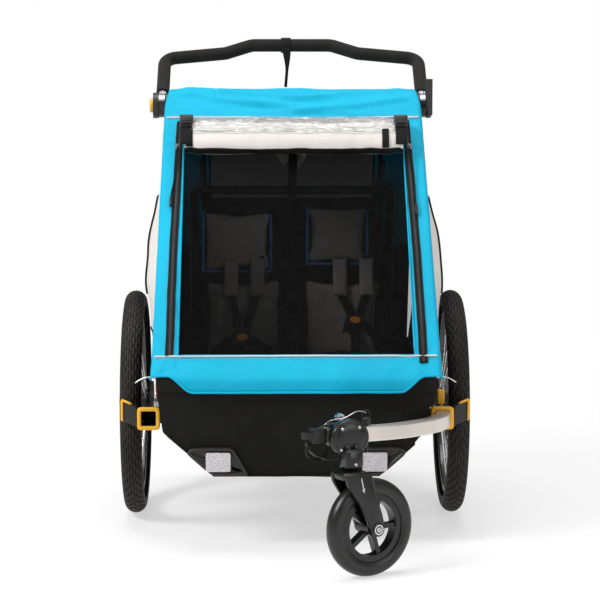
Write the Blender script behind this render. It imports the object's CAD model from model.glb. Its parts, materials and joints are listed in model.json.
import bpy, bmesh, json, math
import numpy as np
from mathutils import Vector, Matrix, noise

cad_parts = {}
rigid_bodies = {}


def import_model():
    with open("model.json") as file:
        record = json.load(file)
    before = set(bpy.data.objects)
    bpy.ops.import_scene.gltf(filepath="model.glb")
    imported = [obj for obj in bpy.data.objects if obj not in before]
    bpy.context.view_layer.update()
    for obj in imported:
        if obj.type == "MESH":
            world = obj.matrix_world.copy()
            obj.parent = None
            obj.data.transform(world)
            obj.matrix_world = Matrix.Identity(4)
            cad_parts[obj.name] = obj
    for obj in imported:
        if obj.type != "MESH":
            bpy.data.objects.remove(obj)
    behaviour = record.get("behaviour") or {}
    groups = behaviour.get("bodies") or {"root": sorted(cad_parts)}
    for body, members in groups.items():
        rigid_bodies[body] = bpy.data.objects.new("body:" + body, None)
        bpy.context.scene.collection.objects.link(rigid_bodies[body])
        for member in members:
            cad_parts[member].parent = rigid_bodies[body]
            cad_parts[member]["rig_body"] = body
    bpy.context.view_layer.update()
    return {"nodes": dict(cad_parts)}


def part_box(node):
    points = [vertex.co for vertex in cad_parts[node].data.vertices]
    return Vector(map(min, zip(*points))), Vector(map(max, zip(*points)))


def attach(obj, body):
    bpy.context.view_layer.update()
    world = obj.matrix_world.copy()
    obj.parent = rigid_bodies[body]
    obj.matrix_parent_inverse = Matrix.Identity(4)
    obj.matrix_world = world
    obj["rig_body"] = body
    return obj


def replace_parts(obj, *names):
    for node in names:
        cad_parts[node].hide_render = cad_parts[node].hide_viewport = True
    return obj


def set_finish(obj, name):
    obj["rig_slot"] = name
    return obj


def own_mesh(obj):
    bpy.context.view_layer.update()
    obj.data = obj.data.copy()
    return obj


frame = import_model()
NODES = frame["nodes"]
SY = 99.573                       # the frame's shift along Y, mm
COL = bpy.context.scene.collection


def V(x, y, z):
    return Vector((x / 1000.0, (y + SY) / 1000.0, z / 1000.0))


def lerp(a, b, t):
    return a + (b - a) * t


def smooth(t):
    t = max(0.0, min(1.0, t))
    return t * t * (3 - 2 * t)


def nz(x, y, z=0.0, f=1.0):
    return noise.noise(Vector((x * f, y * f, z * f)))


# ------------------------------------------------------------------ materials
MATS = {}


class MB:
    """Small builder of a node material."""

    def __init__(self, name):
        self.m = bpy.data.materials.new(name)
        self.m.use_nodes = True
        self.nt = self.m.node_tree
        self.b = self.nt.nodes["Principled BSDF"]
        self.out = self.nt.nodes["Material Output"]
        self.co = self.nt.nodes.new("ShaderNodeTexCoord").outputs["Object"]
        MATS[name] = self.m

    def n(self, kind, **k):
        x = self.nt.nodes.new(kind)
        for a, v in k.items():
            setattr(x, a, v)
        return x

    def link(self, a, b):
        self.nt.links.new(a, b)

    def mapping(self, scale=(1, 1, 1), rot=(0, 0, 0)):
        x = self.n("ShaderNodeMapping")
        x.inputs["Scale"].default_value = scale
        x.inputs["Rotation"].default_value = rot
        self.link(self.co, x.inputs["Vector"])
        return x.outputs[0]

    def noise(self, scale, detail=4, rough=0.55, dist=0.0, vec=None):
        x = self.n("ShaderNodeTexNoise")
        x.inputs["Scale"].default_value = scale
        x.inputs["Detail"].default_value = detail
        x.inputs["Roughness"].default_value = rough
        x.inputs["Distortion"].default_value = dist
        self.link(vec or self.co, x.inputs["Vector"])
        return x.outputs["Fac"]

    def wave(self, scale, axis="X", vec=None, dist=0.0):
        x = self.n("ShaderNodeTexWave", bands_direction=axis)
        x.inputs["Scale"].default_value = scale
        x.inputs["Distortion"].default_value = dist
        self.link(vec or self.co, x.inputs["Vector"])
        return x.outputs["Fac"]

    def voronoi(self, scale, vec=None, feature="F1"):
        x = self.n("ShaderNodeTexVoronoi", feature=feature)
        x.inputs["Scale"].default_value = scale
        self.link(vec or self.co, x.inputs["Vector"])
        return x.outputs["Distance"]

    def math(self, op, a, b):
        x = self.n("ShaderNodeMath", operation=op)
        for i, v in enumerate((a, b)):
            if isinstance(v, (int, float)):
                x.inputs[i].default_value = v
            else:
                self.link(v, x.inputs[i])
        return x.outputs[0]

    def ramp(self, fac, stops):
        x = self.n("ShaderNodeValToRGB")
        el = x.color_ramp.elements
        while len(el) < len(stops):
            el.new(0.5)
        for e, (p, c) in zip(el, stops):
            e.position = p
            e.color = (*c, 1)
        self.link(fac, x.inputs[0])
        return x.outputs[0]

    def mix(self, fac, a, b, blend="MIX"):
        x = self.n("ShaderNodeMix", data_type="RGBA", blend_type=blend)
        for s, v in ((x.inputs[0], fac), (x.inputs[6], a), (x.inputs[7], b)):
            if isinstance(v, (int, float)):
                s.default_value = v
            elif isinstance(v, tuple):
                s.default_value = (*v, 1)
            else:
                self.link(v, s)
        return x.outputs[2]

    def bump(self, height, dist, strength=1.0, prev=None):
        x = self.n("ShaderNodeBump")
        x.inputs["Distance"].default_value = dist
        x.inputs["Strength"].default_value = strength
        self.link(height, x.inputs["Height"])
        if prev is not None:
            self.link(prev, x.inputs["Normal"])
        return x.outputs[0]

    def set(self, **k):
        for a, v in k.items():
            s = self.b.inputs[a.replace("_", " ")]
            if isinstance(v, (int, float)):
                s.default_value = v
            elif isinstance(v, tuple):
                s.default_value = (*v, 1) if len(v) == 3 and s.type == "RGBA" else v
            else:
                self.link(v, s)


def shade(c, k):
    return tuple(min(1.0, v * k) for v in c)


def fabric(name, c, weave=240, weave_d=0.0004, wrinkle=0.004, wr_scale=11, rough=0.85, sheen=0.35, var=0.16, slub=0.10, spec=0.3):
    k = MB(name)
    big = k.noise(5, 5, 0.6)
    fine = k.noise(420, 2, 0.6)
    tilt = k.mapping(rot=(math.radians(45), 0, 0))
    wx = k.wave(weave, "X", dist=1.2)
    wz = k.wave(weave, "Z", vec=tilt, dist=1.2)
    wv = k.math("MULTIPLY", wx, wz)
    base = k.ramp(big, [(0.30, shade(c, 1 - var)), (0.72, shade(c, 1 + var))])
    base = k.mix(k.math("MULTIPLY", wv, 0.35), base, shade(c, 0.72))
    base = k.mix(slub, base, k.ramp(fine, [(0.35, shade(c, 0.5)), (0.65, shade(c, 1.5))]))
    b = k.bump(k.noise(wr_scale, 7, 0.55, 0.6), wrinkle, 0.8)
    b = k.bump(wv, weave_d, 0.8, b)
    k.set(Base_Color=base, Roughness=rough, Sheen_Weight=sheen, Sheen_Roughness=0.4, Normal=b)
    k.set(Specular_IOR_Level=spec)
    return k.m


def plastic(name, c, rough=0.45, grain=900, grain_d=0.00015, var=0.12, wear=0.0, coat=0.0):
    k = MB(name)
    big = k.noise(24, 4)
    base = k.ramp(big, [(0.3, shade(c, 1 - var)), (0.75, shade(c, 1 + var))])
    if wear:
        geo = k.n("ShaderNodeNewGeometry").outputs["Pointiness"]
        edge = k.ramp(geo, [(0.515, (0, 0, 0)), (0.56, (1, 1, 1))])
        base = k.mix(k.math("MULTIPLY", edge, wear), base, shade(c, 1.9))
    r = k.ramp(k.noise(60, 5), [(0.3, (rough * 0.8,) * 3), (0.75, (min(1, rough * 1.25),) * 3)])
    k.set(Base_Color=base, Roughness=r, Normal=k.bump(k.noise(grain, 3), grain_d, 0.7), Coat_Weight=coat, Coat_Roughness=0.15)
    return k.m


def metal(name, c, rough=0.32, brush=(4, 4, 400), aniso=0.0, var=0.06):
    k = MB(name)
    vec = k.mapping(scale=brush)
    st = k.noise(6, 5, 0.7, vec=vec)
    base = k.ramp(k.noise(18, 4), [(0.3, shade(c, 1 - var)), (0.75, shade(c, 1 + var))])
    r = k.ramp(st, [(0.3, (rough * 0.75,) * 3), (0.75, (rough * 1.35,) * 3)])
    k.set(Base_Color=base, Metallic=1.0, Roughness=r, Normal=k.bump(st, 0.00025, 0.5))
    return k.m


TURQ = (0.0, 0.395, 0.60)
fabric("cloth_turquoise", TURQ, wrinkle=0.010, wr_scale=5, rough=0.55, sheen=0.0, var=0.09, slub=0.05, spec=0.2)
fabric("cloth_black", (0.0095, 0.0092, 0.0080), wrinkle=0.012, wr_scale=7, rough=0.75, sheen=0.0, var=0.25, spec=0.12)
fabric("cloth_offwhite", (0.70, 0.655, 0.62), wrinkle=0.005, wr_scale=10, var=0.05, slub=0.06, sheen=0.1)
fabric("cloth_seat", (0.26, 0.243, 0.230), weave=150, wrinkle=0.006, wr_scale=16, var=0.22, sheen=0.1, spec=0.2)
fabric("cloth_blue", (0.02, 0.17, 0.48), weave=200, wrinkle=0.002, wr_scale=20)
fabric("piping_white", (0.75, 0.74, 0.72), weave=500, wrinkle=0.001, wr_scale=60, var=0.04)
fabric("webbing", (0.009, 0.009, 0.009), weave=420, weave_d=0.0006, wrinkle=0.001, wr_scale=40, var=0.2, sheen=0.03, spec=0.2)
fabric("strap_gloss", (0.012, 0.011, 0.010), weave=500, weave_d=0.0003, wrinkle=0.001, wr_scale=30, rough=0.32, var=0.2, sheen=0.0, spec=0.5)
fabric("zip_tape", (0.008, 0.008, 0.008), weave=600, wrinkle=0.001, wr_scale=30, var=0.2, sheen=0.03, spec=0.2)
fabric("cord_black", (0.008, 0.008, 0.008), weave=700, wrinkle=0.0006, wr_scale=80, sheen=0.03, spec=0.2)
plastic("plastic_black", (0.012, 0.011, 0.009), 0.45, wear=0.25)
plastic("plastic_dark", (0.008, 0.0075, 0.007), 0.5)
plastic("plastic_gloss_black", (0.0035, 0.0032, 0.0028), 0.30, grain=300, grain_d=0.0001, coat=0.0)
plastic("plastic_yellow", (0.83, 0.40, 0.020), 0.38, wear=0.1, var=0.06)
plastic("plastic_orange", (0.80, 0.13, 0.015), 0.35, var=0.06)
plastic("plastic_buckle", (0.90, 0.34, 0.03), 0.25, var=0.05, coat=0.5)
plastic("plastic_silver", (0.50, 0.50, 0.50), 0.3, var=0.05)
plastic("tray_plastic", (0.04, 0.04, 0.04), 0.5, grain=120, grain_d=0.001)
metal("alu_tube", (0.60, 0.60, 0.61), 0.36)
metal("alu_bar", (0.74, 0.685, 0.63), 0.40, brush=(40, 400, 40))
metal("alu_rim", (0.15, 0.147, 0.145), 0.24)
metal("steel", (0.70, 0.70, 0.71), 0.22)
metal("steel_dark", (0.10, 0.10, 0.105), 0.35)

k = MB("foam")
cell = k.voronoi(620)
k.set(Base_Color=k.ramp(k.noise(30, 5), [(0.3, (0.010, 0.009, 0.0085)), (0.75, (0.018, 0.016, 0.015))]), Roughness=0.92,
      Sheen_Weight=0.03, Specular_IOR_Level=0.2, Normal=k.bump(cell, 0.0006, 0.6, k.bump(k.noise(14, 5), 0.002, 0.6)))
k = MB("tyre_rubber")
dust = k.noise(20, 6, 0.7)
k.set(Base_Color=k.ramp(dust, [(0.35, (0.012, 0.011, 0.010)), (0.8, (0.032, 0.028, 0.025))]), Roughness=0.7, Specular_IOR_Level=0.3,
      Normal=k.bump(k.noise(220, 4), 0.0004, 0.6))
k = MB("tyre_groove")
k.set(Base_Color=k.ramp(k.noise(40, 4), [(0.35, (0.0025, 0.0022, 0.002)), (0.8, (0.006, 0.0055, 0.005))]), Roughness=0.9, Specular_IOR_Level=0.05,
      Normal=k.bump(k.noise(220, 4), 0.0003, 0.5))
k = MB("caster_rubber")
k.set(Base_Color=k.ramp(k.noise(20, 5), [(0.35, (0.0055, 0.005, 0.0045)), (0.8, (0.011, 0.010, 0.009))]), Roughness=0.34,
      Normal=k.bump(k.noise(150, 4), 0.0003, 0.5))
k = MB("reflector_prism")
v1 = k.voronoi(260)
k.set(Base_Color=k.ramp(v1, [(0.0, (0.80, 0.76, 0.78)), (0.6, (0.55, 0.51, 0.54))]), Roughness=0.18, Metallic=0.25, Coat_Weight=0.8,
      Normal=k.bump(v1, 0.002, 0.8))
k = MB("reflector_red")
v1 = k.voronoi(260)
k.set(Base_Color=k.ramp(v1, [(0.0, (0.60, 0.02, 0.015)), (0.6, (0.35, 0.008, 0.006))]), Roughness=0.18, Coat_Weight=0.8,
      Normal=k.bump(v1, 0.002, 0.8))

# handlebar tube: bare alloy above the pivot discs, black moulded ends inside them
k = MB("tube_two_tone")
sx = k.n("ShaderNodeSeparateXYZ")
k.link(k.co, sx.inputs[0])
lim = k.n("ShaderNodeMapRange")
lim.inputs["From Min"].default_value = 0.911
lim.inputs["From Max"].default_value = 0.914
k.link(sx.outputs["Z"], lim.inputs["Value"])
k.set(Base_Color=k.mix(lim.outputs[0], k.ramp(k.noise(30, 4), [(0.3, (0.014, 0.014, 0.014)), (0.75, (0.026, 0.025, 0.024))]),
                       k.ramp(k.noise(40, 4), [(0.3, (0.30, 0.30, 0.31)), (0.75, (0.40, 0.40, 0.41))])),
      Metallic=lim.outputs[0], Roughness=k.ramp(k.noise(60, 5), [(0.3, (0.32,) * 3), (0.75, (0.5,) * 3)]), Normal=k.bump(k.noise(900, 3), 0.0001, 0.6))

# insect mesh: dark thread over clear holes
k = MB("insect_mesh")
rot = k.mapping(rot=(math.radians(45), 0, 0))
gx, gz = k.wave(300, "X"), k.wave(300, "Z", vec=rot)
hole = k.math("MULTIPLY", gx, gz)
fac = k.math("ADD", k.math("MULTIPLY", hole, 0.66), k.math("MULTIPLY", k.noise(3, 3), 0.56))
tr = k.n("ShaderNodeBsdfTransparent")
mx = k.n("ShaderNodeMixShader")
k.set(Base_Color=k.ramp(k.noise(60, 3), [(0.3, (0.0030, 0.0030, 0.0030)), (0.8, (0.008, 0.008, 0.008))]), Roughness=0.8, Specular_IOR_Level=0.03)
k.link(fac, mx.inputs[0]); k.link(k.b.outputs[0], mx.inputs[1]); k.link(tr.outputs[0], mx.inputs[2])
k.link(mx.outputs[0], k.out.inputs[0])

# crinkled clear film over pale layers
k = MB("clear_film")
vec = k.mapping(scale=(1.0, 3.5, 3.5))
cr = k.noise(26, 7, 0.65, 1.6, vec=vec)
k.set(Base_Color=k.ramp(cr, [(0.36, (0.24, 0.235, 0.22)), (0.52, (0.45, 0.44, 0.42)), (0.66, (0.80, 0.79, 0.77))]),
      Roughness=0.12, Coat_Weight=1.0, Coat_Roughness=0.06, Normal=k.bump(cr, 0.010, 0.9))
k = MB("side_film")
cr = k.noise(12, 6, 0.6, 1.0)
tr = k.n("ShaderNodeBsdfTransparent"); mx = k.n("ShaderNodeMixShader")
mx.inputs[0].default_value = 0.13
k.set(Base_Color=(0.024, 0.024, 0.026), Roughness=0.1, Normal=k.bump(cr, 0.006, 0.7))
k.link(k.b.outputs[0], mx.inputs[1]); k.link(tr.outputs[0], mx.inputs[2]); k.link(mx.outputs[0], k.out.inputs[0])


# ------------------------------------------------------------------ mesh helpers
def mesh_obj(name, verts, faces, mats, body, slot=None, face_mat=None, smooth_all=True):
    me = bpy.data.meshes.new(name)
    me.from_pydata([tuple(v) for v in verts], [], faces)
    for m in (mats if isinstance(mats, (list, tuple)) else [mats]):
        me.materials.append(MATS[m])
    if face_mat is not None:
        me.polygons.foreach_set("material_index", np.array(face_mat, dtype=np.int32))
    me.polygons.foreach_set("use_smooth", np.full(len(me.polygons), smooth_all))
    me.validate()
    o = bpy.data.objects.new(name, me)
    COL.objects.link(o)
    if body:
        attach(o, body)
    if slot:
        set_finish(o, slot)
    return o


def fix_normals(o):
    bm = bmesh.new(); bm.from_mesh(o.data)
    bmesh.ops.recalc_face_normals(bm, faces=bm.faces)
    bm.to_mesh(o.data); bm.free()


def apply_mods(o):
    dg = bpy.context.evaluated_depsgraph_get()
    me = bpy.data.meshes.new_from_object(o.evaluated_get(dg), depsgraph=dg)
    o.modifiers.clear()
    old = o.data
    o.data = me
    me.name = o.name


def solid(o, t, offset=-1.0):
    m = o.modifiers.new("thick", "SOLIDIFY")
    m.thickness = t / 1000.0
    m.offset = offset
    m.use_even_offset = False
    apply_mods(o)
    o.data.polygons.foreach_set("use_smooth", np.full(len(o.data.polygons), True))
    return o


def grid(name, us, vs, f, mats, body, slot=None, keep=None, fmat=None, wrap=False):
    verts = [f(u, v) for v in vs for u in us]
    nu, nv = len(us), len(vs)
    faces, fm = [], []
    for j in range(nv - 1):
        for i in range(nu if wrap else nu - 1):
            i2 = (i + 1) % nu
            uc = (us[i] + us[i2]) / 2 if i2 else us[i]
            vc = (vs[j] + vs[j + 1]) / 2
            if keep and not keep(uc, vc):
                continue
            faces.append((j * nu + i, j * nu + i2, (j + 1) * nu + i2, (j + 1) * nu + i))
            fm.append(fmat(uc, vc) if fmat else 0)
    o = mesh_obj(name, verts, faces, mats, body, slot, fm)
    bm = bmesh.new(); bm.from_mesh(o.data)
    bmesh.ops.delete(bm, geom=[v for v in bm.verts if not v.link_faces], context="VERTS")
    bm.to_mesh(o.data); bm.free()
    return o


def tube(name, pts, r, mat, body, slot=None, seg=10, closed=False, rr=None, flat=1.0, cap=True):
    """Round (or flattened) tube through points in metres."""
    pts = [Vector(p) for p in pts]
    n = len(pts)
    verts, faces = [], []
    up = Vector((0, 0, 1))
    prev = None
    for i, p in enumerate(pts):
        a = pts[(i - 1) % n] if (closed or i) else p
        b = pts[(i + 1) % n] if (closed or i < n - 1) else p
        t = (b - a).normalized()
        if prev is None:
            s = t.cross(up)
            if s.length < 1e-3:
                s = t.cross(Vector((1, 0, 0)))
            s.normalize()
        else:
            s = (prev - t * prev.dot(t)).normalized()
        prev = s
        q = s.cross(t)
        rad = (rr(i / (n - 1)) if rr else r) / 1000.0
        for j in range(seg):
            an = 2 * math.pi * j / seg
            verts.append(p + s * math.cos(an) * rad + q * math.sin(an) * rad * flat)
    for i in range(n if closed else n - 1):
        for j in range(seg):
            i2, j2 = (i + 1) % n, (j + 1) % seg
            faces.append((i * seg + j, i * seg + j2, i2 * seg + j2, i2 * seg + j))
    if not closed and cap:
        faces.append(tuple(range(seg)))
        faces.append(tuple((n - 1) * seg + j for j in reversed(range(seg))))
    o = mesh_obj(name, verts, faces, mat, body, slot)
    fix_normals(o)
    return o


def ribbon(name, pts, widths, t, mat, body, slot=None, side=(1, 0, 0), ridge=0.0):
    """Flat strap through points (metres); side is its width direction."""
    pts = [Vector(p) for p in pts]
    side = Vector(side).normalized()
    n = len(pts)
    prof = [(-0.5, 0), (-0.42, 0.5), (-0.2, 0.5 + ridge * 0.3), (0, 0.5 + ridge), (0.2, 0.5 + ridge * 0.3), (0.42, 0.5), (0.5, 0),
            (0.42, -0.5), (0, -0.5), (-0.42, -0.5)]
    verts, faces = [], []
    for i, p in enumerate(pts):
        tdir = (pts[min(i + 1, n - 1)] - pts[max(i - 1, 0)]).normalized()
        s = (side - tdir * side.dot(tdir)).normalized()
        q = s.cross(tdir).normalized()
        w = (widths(i / (n - 1)) if callable(widths) else widths) / 1000.0
        for a, b in prof:
            verts.append(p + s * a * w + q * b * t / 1000.0)
    m = len(prof)
    for i in range(n - 1):
        for j in range(m):
            j2 = (j + 1) % m
            faces.append((i * m + j, i * m + j2, (i + 1) * m + j2, (i + 1) * m + j))
    faces.append(tuple(range(m)))
    faces.append(tuple((n - 1) * m + j for j in reversed(range(m))))
    o = mesh_obj(name, verts, faces, mat, body, slot)
    fix_normals(o)
    return o


def rbox(name, c, size, r, mat, body, slot=None, rot=None, seg=3, drop=None):
    """Moulded block: box with rounded edges, c and size in mm (frame before shift)."""
    bm = bmesh.new()
    bmesh.ops.create_cube(bm, size=1.0)
    for v in bm.verts:
        v.co = Vector((v.co.x * size[0], v.co.y * size[1], v.co.z * size[2])) / 1000.0
    bmesh.ops.bevel(bm, geom=list(bm.edges), offset=r / 1000.0, segments=seg, profile=0.5, affect="EDGES")
    if drop:
        for v in bm.verts:
            v.co = drop(v.co)
    me = bpy.data.meshes.new(name); bm.to_mesh(me); bm.free()
    me.materials.append(MATS[mat])
    me.polygons.foreach_set("use_smooth", np.full(len(me.polygons), True))
    o = bpy.data.objects.new(name, me)
    COL.objects.link(o)
    o.matrix_world = Matrix.Translation(V(*c)) @ (rot.to_4x4() if rot else Matrix.Identity(4))
    bpy.context.view_layer.update()
    me.transform(o.matrix_world); o.matrix_world = Matrix.Identity(4)
    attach(o, body)
    if slot:
        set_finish(o, slot)
    return o


def join(objs, name):
    """Joins meshes that ride on the same body into one piece."""
    o = objs[0]
    bm = bmesh.new()
    mats = []
    for x in objs:
        base = {}
        for i, m in enumerate(x.data.materials):
            if m not in mats:
                mats.append(m)
            base[i] = mats.index(m)
        me = x.data.copy()
        for p in me.polygons:
            p.material_index = base[p.material_index]
        bm.from_mesh(me)
        bpy.data.meshes.remove(me)
    me = bpy.data.meshes.new(name)
    bm.to_mesh(me); bm.free()
    for m in mats:
        me.materials.append(m)
    body = o["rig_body"]; slot = o.get("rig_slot")
    for x in objs:
        bpy.data.objects.remove(x)
    o = bpy.data.objects.new(name, me)
    COL.objects.link(o)
    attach(o, body)
    if slot:
        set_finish(o, slot)
    return o


# ------------------------------------------------------------------ cover surface
CD = (0.70211, 0.71207)
raw = [(-452.0, 332.0), (-452.0, 358.0), (108.5, 926.5), (134.0, 937.5), (168.0, 938.5), (195.0, 929.0), (212.0, 906.0)]


def resample(pts, step):
    out = []
    for (a, b), (c, d) in zip(pts[:-1], pts[1:]):
        n = max(1, int(round(math.hypot(c - a, d - b) / step)))
        for i in range(n):
            out.append((lerp(a, c, i / n), lerp(b, d, i / n)))
    out.append(pts[-1])
    return np.array(out)


path = resample(raw, 3.0)
for _ in range(14):
    path[1:-1] = (path[:-2] + path[1:-1] * 2 + path[2:]) / 4
sarc = np.concatenate([[0], np.cumsum(np.hypot(*np.diff(path, axis=0).T))]) - 26.0
tan = np.gradient(path, axis=0)
tan /= np.hypot(*tan.T)[:, None]


def cov(x, s, n=0.0):
    """Point on the cover: x across, s up the slope, n outwards. mm before the shift."""
    y, z = np.interp(s, sarc, path[:, 0]), np.interp(s, sarc, path[:, 1])
    ty, tz = np.interp(s, sarc, tan[:, 0]), np.interp(s, sarc, tan[:, 1])
    return (x, y - tz * n, z + ty * n)


def CV(x, s, n=0.0):
    return V(*cov(x, s, n))


def half(s):
    w = lerp(296.0, 287.0, max(0, min(1, s / 800.0)))
    if s > 760:
        w = lerp(w, 281.5, smooth((s - 760) / 60))
    return w


WX, W0, W1 = 242.0, 60.0, 650.0
RAD, RET = 9.0, 34.0
ARC = RAD * math.pi / 2


def cover_pt(w, s):
    h = half(s)
    sg = -1 if w < 0 else 1
    a = abs(w)
    ret = RET if s < 700 else lerp(RET, 6.0, smooth((s - 700) / 60))
    flat = h - RAD
    # the lower hem rises at the corners
    if s < 40:
        low = lerp(-26.0, 9.0, smooth((a - 205) / 52.0))
        s = lerp(low, 40.0, (s + 26.0) / 66.0)
    arc = RAD * math.pi / 2
    k = a * (flat / 280.0) if a <= 280 else flat + (a - 280)
    sag = 2.2 * math.sin(max(0, min(1, s / 800)) * math.pi)
    wr = 1.8 * nz(w * 0.011, s * 0.006, 3.1) + 0.9 * nz(w * 0.03, s * 0.02, 7.7) + 0.45 * nz(w * 0.07, s * 0.05, 2.2)
    # tension folds running out of the corners of the window and the hem
    for cx, cs, am in ((WX, W0, 1.7), (WX, 640.0, 1.3), (285, 5, 1.6)):
        dx, ds = a - cx, s - cs
        d = math.hypot(dx, ds)
        if d < 130:
            wr += am * math.sin(math.atan2(ds, dx + 1e-6) * 7 + sg) * (1 - d / 130) ** 2 * min(1.0, d / 18)
    if s < 60:
        wr += 1.8 * nz(w * 0.02, 0.3, 9.0) * smooth((60 - s) / 80)
        wr += 2.0 * math.sin(w * 0.085 + 1.5 * nz(w * 0.01, 1.0)) * smooth((52 - s) / 40) * (0.4 + 0.6 * nz(w * 0.006, 4.0) ** 2 * 4)
    if 640 < s:
        # long shallow folds hanging between the top corners
        f_ = smooth((s - 640) / 50) * smooth((900 - s) / 40)
        for k_, (a0, s0, am) in enumerate(((-280, 838, 5.2), (-280, 806, 4.4), (280, 830, 4.6), (280, 790, 4.0), (-120, 778, 3.0), (60, 850, 2.8))):
            u_ = w - a0 if a0 < 0 else a0 - w
            if u_ > 0:
                line = s0 - 0.20 * u_ + 0.00018 * u_ * u_ + 6 * nz(u_ * 0.01, k_)
                wr += am * f_ * math.exp(-((s - line) / 7.0) ** 2) * smooth(u_ / 40) * smooth((430 - u_) / 200)
                wr -= am * 0.5 * f_ * math.exp(-((s - line + 15) / 12.0) ** 2) * smooth(u_ / 40) * smooth((430 - u_) / 200)
    if k <= flat:
        return V(*cov(sg * k, s, wr - sag * (1 - (k / flat) ** 4)))
    q = k - flat
    if q <= arc:
        ph = q / RAD
        x = flat + (RAD + wr * 0.4) * math.sin(ph)
        n = -RAD * (1 - math.cos(ph)) + wr * math.cos(ph)
        return V(*cov(sg * x, s, n))
    t = min(1.0, (q - arc) / RET) * ret * lerp(0.12, 1.0, smooth((s + 5) / 115))
    return V(*cov(sg * (h - 1.5 * (t / RET) + 0.8 * nz(s * 0.03, t * 0.1, 5)), s, -RAD - t))


half_us = sorted(set([0, WX] + list(np.linspace(0, 280, 57)) + list(280 + np.linspace(0, ARC, 7)) + list(280 + ARC + np.linspace(0, RET, 7))))
half_us = [u for i, u in enumerate(half_us) if i == 0 or u - half_us[i - 1] > 0.7 or u == WX]
us = [-u for u in reversed(half_us[1:])] + half_us
vs = sorted(set([W0, W1] + list(np.linspace(-26, 40, 13)) + list(np.linspace(45, sarc[-1] - 1, 165))))
cover = grid("front_cover_cloth", us, vs, cover_pt, ["cloth_turquoise"], None, "cover_cloth",
             keep=lambda u, v: not (abs(u) < WX * 280 / (half(v) - RAD) and W0 < v < W1))
m = cover.modifiers.new("t", "SOLIDIFY"); m.thickness = 0.0014; m.offset = -1
apply_mods(cover)
cover.data.polygons.foreach_set("use_smooth", np.full(len(cover.data.polygons), True))
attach(cover, "main_hoop")
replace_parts(cover, "front_cover")


def across(s, n=1.6, end=283.0, step=6.0):
    """Line across the front of the cover at s."""
    pts = []
    for w in np.arange(-end, end + 0.1, step):
        p = cover_pt(w, s)
        x, y, z = p.x * 1000, p.y * 1000 - SY, p.z * 1000
        out = n
        if abs(w) <= 290:
            c = cov(x, s, 0)
            ty, tz = np.interp(s, sarc, tan[:, 0]), np.interp(s, sarc, tan[:, 1])
            pts.append(V(x, y - tz * out, z + ty * out))
        else:
            pts.append(V(x + math.copysign(out, x), y, z))
    return pts


tube("piping_upper", across(725), 1.9, "piping_white", "main_hoop", "side_cloth", seg=8)
tube("piping_lower", across(58), 1.9, "piping_white", "main_hoop", "side_cloth", seg=8)
# hem binding along the lower edge, black
hem = [cover_pt(w, -26) + Vector((0, -0.0016, 0.0)) for w in np.arange(-318, 318.1, 6)]
tube("cover_hem", hem, 2.6, "cloth_turquoise", "main_hoop", "cover_cloth", seg=8)

# window binding: folded strip round the opening
bind = []
for s0, s1, x0, x1 in ((W0, W1, -WX, -WX), (W1, W1, -WX, WX), (W1, W0, WX, WX), (W0, W0, WX, -WX)):
    m = 50
    for i in range(m):
        bind.append(CV(lerp(x0, x1, i / m), lerp(s0, s1, i / m), 0.4))
tube("window_binding", bind, 2.6, "cloth_turquoise", "main_hoop", "cover_cloth", seg=8, closed=True, flat=0.6)


def topstitch(name, pts, mat, body, length=3.2, gap=2.4, r=0.45):
    """Row of separate stitches along a line of points in metres."""
    pts = [Vector(p) for p in pts]
    d = [0.0]
    for a, b in zip(pts[:-1], pts[1:]):
        d.append(d[-1] + (b - a).length * 1000)
    arr = np.array([list(p) for p in pts]); d = np.array(d)
    verts, faces = [], []
    pos = 0.0
    while pos + length < d[-1]:
        a = Vector([np.interp(pos, d, arr[:, i]) for i in range(3)])
        b = Vector([np.interp(pos + length, d, arr[:, i]) for i in range(3)])
        t = (b - a).normalized()
        s = t.orthogonal().normalized(); q = t.cross(s)
        base = len(verts)
        for p, k_ in ((a, 0.4), ((a + b) / 2, 1.0), (b, 0.4)):
            for j in range(4):
                an = math.pi / 2 * j
                verts.append(p + (s * math.cos(an) + q * math.sin(an)) * r * k_ / 1000)
        for i in range(2):
            for j in range(4):
                j2 = (j + 1) % 4
                faces.append((base + i * 4 + j, base + i * 4 + j2, base + (i + 1) * 4 + j2, base + (i + 1) * 4 + j))
        pos += length + gap
    return mesh_obj(name, verts, faces, mat, body, "cover_cloth")


topstitch("stitch_upper_a", across(720, 1.7), "piping_white", "main_hoop")
topstitch("stitch_upper_b", across(731, 1.7), "piping_white", "main_hoop")
topstitch("stitch_lower_a", across(52, 1.7), "piping_white", "main_hoop")


# ---- zips
def zip_x(s):
    return float(np.interp(s, [56, 208, 345, 500, 700, 735], [259, 258.5, 257.5, 254.5, 250, 248]))


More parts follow.
